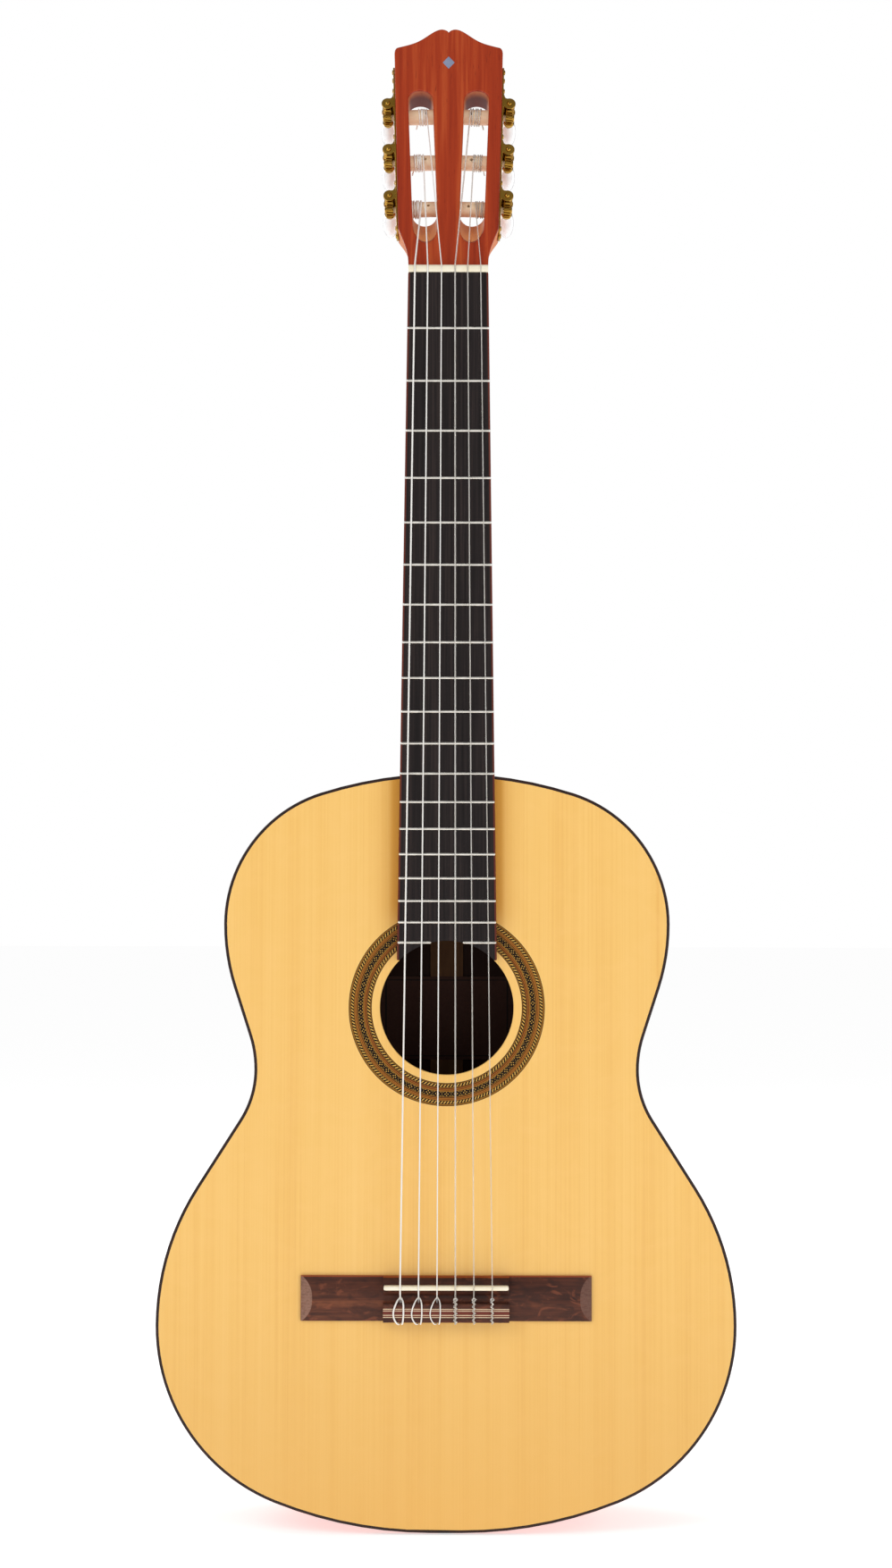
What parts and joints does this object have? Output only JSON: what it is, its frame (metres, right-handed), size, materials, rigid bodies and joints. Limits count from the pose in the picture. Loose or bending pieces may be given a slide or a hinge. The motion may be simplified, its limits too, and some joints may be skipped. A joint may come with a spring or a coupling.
{
  "type": "classical guitar",
  "caption": "Nylon-string classical guitar with a hollow spruce and mahogany body, a slotted headstock, geared tuning machines and a tie-block bridge.",
  "frame": {"origin": "middle of the small flat at the tail end of the body", "axes": "+Z along the neck from the tail to the head; -Y is the way the soundboard faces, +Y the way the back faces; +X the treble side"},
  "size_m": [0.37, 0.1128, 0.9859],
  "materials": {
    "soundboard_spruce": "glossy honey-coloured spruce, straight fine grain along the body",
    "mosaic": "inlaid wood mosaic rings in black, brown and cream",
    "mahogany": "glossy red-brown mahogany",
    "binding": "glossy black-brown edging",
    "inner_mahogany": "bare, unfinished",
    "inner_spruce": "bare, unfinished",
    "fretboard_wood": "satin dark rosewood, fine grain along the board",
    "bone": "polished bone",
    "bridge_wood": "satin rosewood",
    "wound_string": "silver-plated wire wound on a nylon core",
    "nylon_string": "clear nylon",
    "roller_plastic": "ivory-coloured moulded plastic",
    "gilt_metal": "polished gold-plated metal",
    "pearl_plastic": "pearl-like moulded plastic"
  },
  "bodies": {
    "root_body": {"soundboard": "soundboard_spruce", "rosette": "mosaic", "back_plate": "mahogany", "bass_side": "mahogany", "treble_side": "mahogany", "neck": "mahogany", "headstock_veneer": "mahogany", "end_graft": "binding", "top_binding": "binding", "back_binding": "binding", "heel_cap": "binding", "bass_top_lining": "inner_mahogany", "treble_top_lining": "inner_mahogany", "bass_back_lining": "inner_mahogany", "treble_back_lining": "inner_mahogany", "heel_block": "inner_mahogany", "tail_block": "inner_mahogany", "upper_harmonic_bar": "inner_spruce", "lower_harmonic_bar": "inner_spruce", "fan_braces": "inner_spruce", "back_center_strip": "inner_spruce", "back_brace_1": "inner_spruce", "back_brace_2": "inner_spruce", "back_brace_3": "inner_spruce", "fretboard": "fretboard_wood", "nut": "bone", "saddle": "bone", "bridge": "bridge_wood", "string_4": "wound_string", "string_5": "wound_string", "string_6": "wound_string", "string_1": "nylon_string", "string_2": "nylon_string", "string_3": "nylon_string", "bass_tuner_plate": "gilt_metal", "treble_tuner_plate": "gilt_metal"},
    "roller_body_1": {"roller_1": "roller_plastic", "gear_1": "gilt_metal"},
    "worm_body_1": {"worm_1": "gilt_metal", "button_1": "pearl_plastic"},
    "roller_body_2": {"roller_2": "roller_plastic", "gear_2": "gilt_metal"},
    "worm_body_2": {"worm_2": "gilt_metal", "button_2": "pearl_plastic"},
    "roller_body_3": {"roller_3": "roller_plastic", "gear_3": "gilt_metal"},
    "worm_body_3": {"worm_3": "gilt_metal", "button_3": "pearl_plastic"},
    "roller_body_4": {"roller_4": "roller_plastic", "gear_4": "gilt_metal"},
    "worm_body_4": {"worm_4": "gilt_metal", "button_4": "pearl_plastic"},
    "roller_body_5": {"roller_5": "roller_plastic", "gear_5": "gilt_metal"},
    "worm_body_5": {"worm_5": "gilt_metal", "button_5": "pearl_plastic"},
    "roller_body_6": {"roller_6": "roller_plastic", "gear_6": "gilt_metal"},
    "worm_body_6": {"worm_6": "gilt_metal", "button_6": "pearl_plastic"}
  },
  "joints": [
    {"name": "button_turn_1", "type": "hinge", "parent": "root_body", "child": "worm_body_1", "pos_m": [0.03883, -0.02375, 0.86344], "axis": [0, 0.965, -0.2622], "continuous": true},
    {"name": "roller_turn_1", "type": "hinge", "parent": "root_body", "child": "roller_body_1", "pos_m": [0.03333, -0.02574, 0.8561], "axis": [0.9996, -0.0069, -0.0256], "continuous": true},
    {"name": "button_turn_2", "type": "hinge", "parent": "root_body", "child": "worm_body_2", "pos_m": [0.03976, -0.01457, 0.89721], "axis": [0, 0.965, -0.2622], "continuous": true},
    {"name": "roller_turn_2", "type": "hinge", "parent": "root_body", "child": "roller_body_2", "pos_m": [0.03426, -0.01657, 0.88987], "axis": [0.9996, -0.0069, -0.0256], "continuous": true},
    {"name": "button_turn_3", "type": "hinge", "parent": "root_body", "child": "worm_body_3", "pos_m": [0.04069, -0.0054, 0.93099], "axis": [0, 0.965, -0.2622], "continuous": true},
    {"name": "roller_turn_3", "type": "hinge", "parent": "root_body", "child": "roller_body_3", "pos_m": [0.03519, -0.00739, 0.92365], "axis": [0.9996, -0.0069, -0.0256], "continuous": true},
    {"name": "button_turn_4", "type": "hinge", "parent": "root_body", "child": "worm_body_4", "pos_m": [-0.04069, -0.0054, 0.93099], "axis": [0, 0.965, -0.2622], "continuous": true},
    {"name": "roller_turn_4", "type": "hinge", "parent": "root_body", "child": "roller_body_4", "pos_m": [-0.03519, -0.00739, 0.92365], "axis": [0.9996, 0.0069, 0.0256], "continuous": true},
    {"name": "button_turn_5", "type": "hinge", "parent": "root_body", "child": "worm_body_5", "pos_m": [-0.03976, -0.01457, 0.89721], "axis": [0, 0.965, -0.2622], "continuous": true},
    {"name": "roller_turn_5", "type": "hinge", "parent": "root_body", "child": "roller_body_5", "pos_m": [-0.03426, -0.01657, 0.88987], "axis": [0.9996, 0.0069, 0.0256], "continuous": true},
    {"name": "button_turn_6", "type": "hinge", "parent": "root_body", "child": "worm_body_6", "pos_m": [-0.03883, -0.02375, 0.86344], "axis": [0, 0.965, -0.2622], "continuous": true},
    {"name": "roller_turn_6", "type": "hinge", "parent": "root_body", "child": "roller_body_6", "pos_m": [-0.03333, -0.02574, 0.8561], "axis": [0.9996, 0.0069, 0.0256], "continuous": true}
  ],
  "couplings": [
    {"joint": "roller_turn_1", "follows": "button_turn_1", "ratio": 0.071429},
    {"joint": "roller_turn_2", "follows": "button_turn_2", "ratio": 0.071429},
    {"joint": "roller_turn_3", "follows": "button_turn_3", "ratio": 0.071429},
    {"joint": "roller_turn_4", "follows": "button_turn_4", "ratio": 0.071429},
    {"joint": "roller_turn_5", "follows": "button_turn_5", "ratio": 0.071429},
    {"joint": "roller_turn_6", "follows": "button_turn_6", "ratio": 0.071429}
  ]
}
